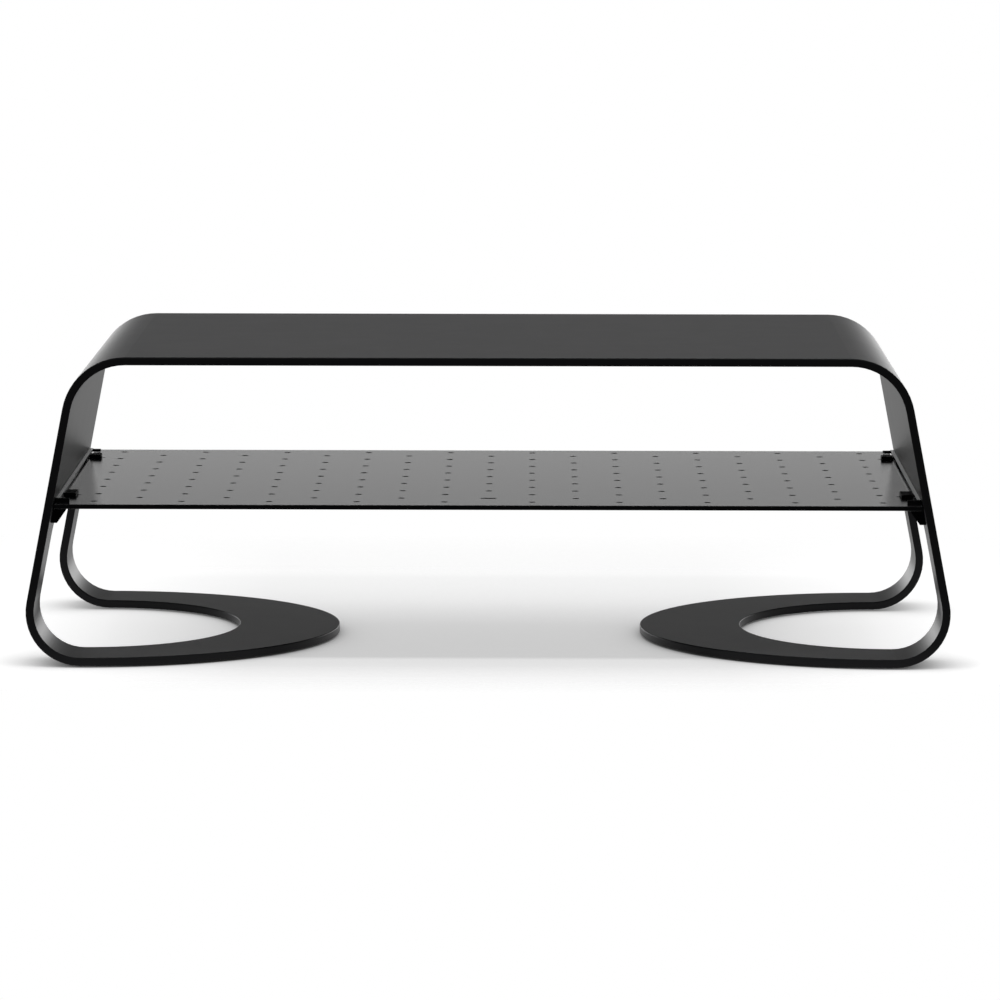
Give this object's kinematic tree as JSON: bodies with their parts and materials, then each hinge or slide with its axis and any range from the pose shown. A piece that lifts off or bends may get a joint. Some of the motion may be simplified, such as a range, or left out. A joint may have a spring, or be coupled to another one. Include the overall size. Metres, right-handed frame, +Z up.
{
  "type": "monitor riser stand",
  "caption": "Bent steel ribbon riser with a raised top, leaning legs, cut-out feet and a perforated slide-out shelf.",
  "frame": {"origin": "centre of the footprint at desk level, on the underside of the foot pads", "axes": "+X to the right seen from the front, +Y to the back, +Z up"},
  "size_m": [0.4998, 0.246, 0.169],
  "materials": {
    "frame_coat": "satin powder coat",
    "shelf_coat": "satin powder coat",
    "bracket_coat": "satin powder coat",
    "screw_steel": "black oxide",
    "glide_tape": "matte",
    "pad_silicone": "matte",
    "catch_nylon": "fine matte texture",
    "retainer_steel": "bright spring steel"
  },
  "bodies": {
    "frame": {"riser_frame": "frame_coat", "left_bracket": "bracket_coat", "right_bracket": "bracket_coat", "left_bracket_screws": "screw_steel", "right_bracket_screws": "screw_steel", "left_glide_strip": "glide_tape", "right_glide_strip": "glide_tape", "left_rear_hold_down": "catch_nylon", "right_rear_hold_down": "catch_nylon", "left_front_foot_pad": "pad_silicone", "left_rear_foot_pad": "pad_silicone", "left_toe_foot_pad": "pad_silicone", "right_front_foot_pad": "pad_silicone", "right_rear_foot_pad": "pad_silicone", "right_toe_foot_pad": "pad_silicone"},
    "shelf": {"shelf_panel": "shelf_coat", "left_front_stop": "catch_nylon", "right_front_stop": "catch_nylon"},
    "left_front_catch": {"left_front_catch": "catch_nylon", "left_front_catch_retainer": "retainer_steel"},
    "left_rear_catch": {"left_rear_catch": "catch_nylon", "left_rear_catch_retainer": "retainer_steel"},
    "right_front_catch": {"right_front_catch": "catch_nylon", "right_front_catch_retainer": "retainer_steel"},
    "right_rear_catch": {"right_rear_catch": "catch_nylon", "right_rear_catch_retainer": "retainer_steel"}
  },
  "joints": [
    {"name": "shelf_slide", "type": "slide", "parent": "frame", "child": "shelf", "axis": [0, -1, 0], "range_m": [0, 0.25]},
    {"name": "left_front_catch_slide", "type": "slide", "parent": "shelf", "child": "left_front_catch", "axis": [1, 0, 0], "range_m": [0, 0.0026]},
    {"name": "left_rear_catch_slide", "type": "slide", "parent": "shelf", "child": "left_rear_catch", "axis": [1, 0, 0], "range_m": [0, 0.0026]},
    {"name": "right_front_catch_slide", "type": "slide", "parent": "shelf", "child": "right_front_catch", "axis": [-1, 0, 0], "range_m": [0, 0.0026]},
    {"name": "right_rear_catch_slide", "type": "slide", "parent": "shelf", "child": "right_rear_catch", "axis": [-1, 0, 0], "range_m": [0, 0.0026]}
  ]
}
